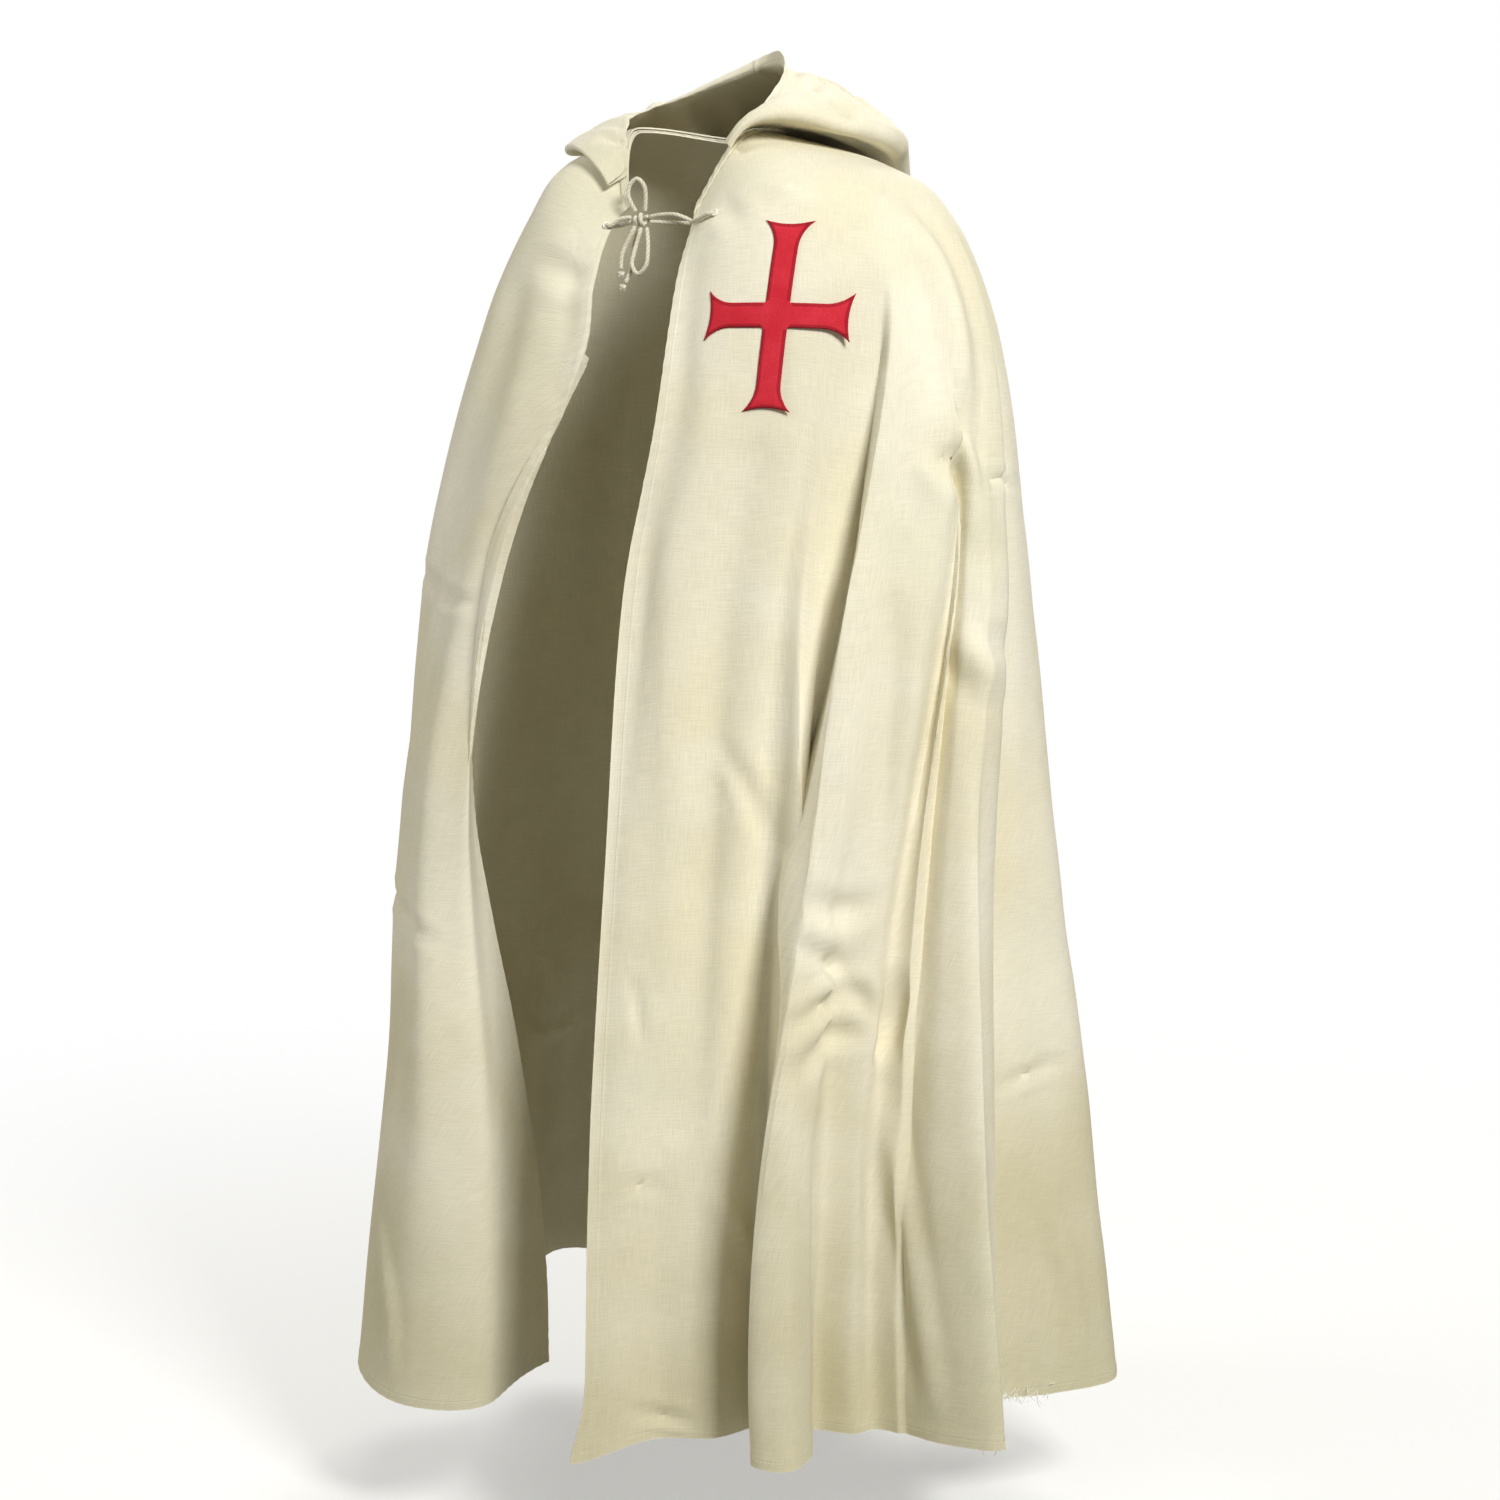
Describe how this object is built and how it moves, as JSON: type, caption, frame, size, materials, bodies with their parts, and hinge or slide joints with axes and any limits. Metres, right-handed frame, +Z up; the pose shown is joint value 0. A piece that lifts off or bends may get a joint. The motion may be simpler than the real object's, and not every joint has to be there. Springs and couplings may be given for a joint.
{
  "type": "hooded crusader cape",
  "caption": "Worn full-length hooded cape, open at the front, with a cord tie at the neck and a flared cross applique on the left breast.",
  "frame": {"origin": "middle of the neck opening, level with the sides of the neck", "axes": "+Z up, -Y the way the wearer faces, +X the wearer's left, where the cross is"},
  "size_m": [0.8192, 0.6866, 1.3883],
  "materials": {
    "canvas": "matte, undyed heavy cotton with a plain weave, warm cream",
    "red_wool": "matte red felted wool",
    "cotton_cord": "matte twisted cotton cord, cream"
  },
  "bodies": {
    "root": {"body_left": "canvas", "body_right": "canvas", "neck_band": "canvas", "hood_left": "canvas", "hood_right": "canvas", "cross": "red_wool", "tie_left_front": "cotton_cord", "tie_left_back": "cotton_cord", "tie_right_front": "cotton_cord", "tie_right_back": "cotton_cord", "tie_loop_upper": "cotton_cord", "tie_loop_lower": "cotton_cord", "tie_tail_upper": "cotton_cord", "tie_tail_lower": "cotton_cord", "tie_knot": "cotton_cord", "end_knot_upper": "cotton_cord", "end_knot_lower": "cotton_cord"}
  },
  "joints": []
}
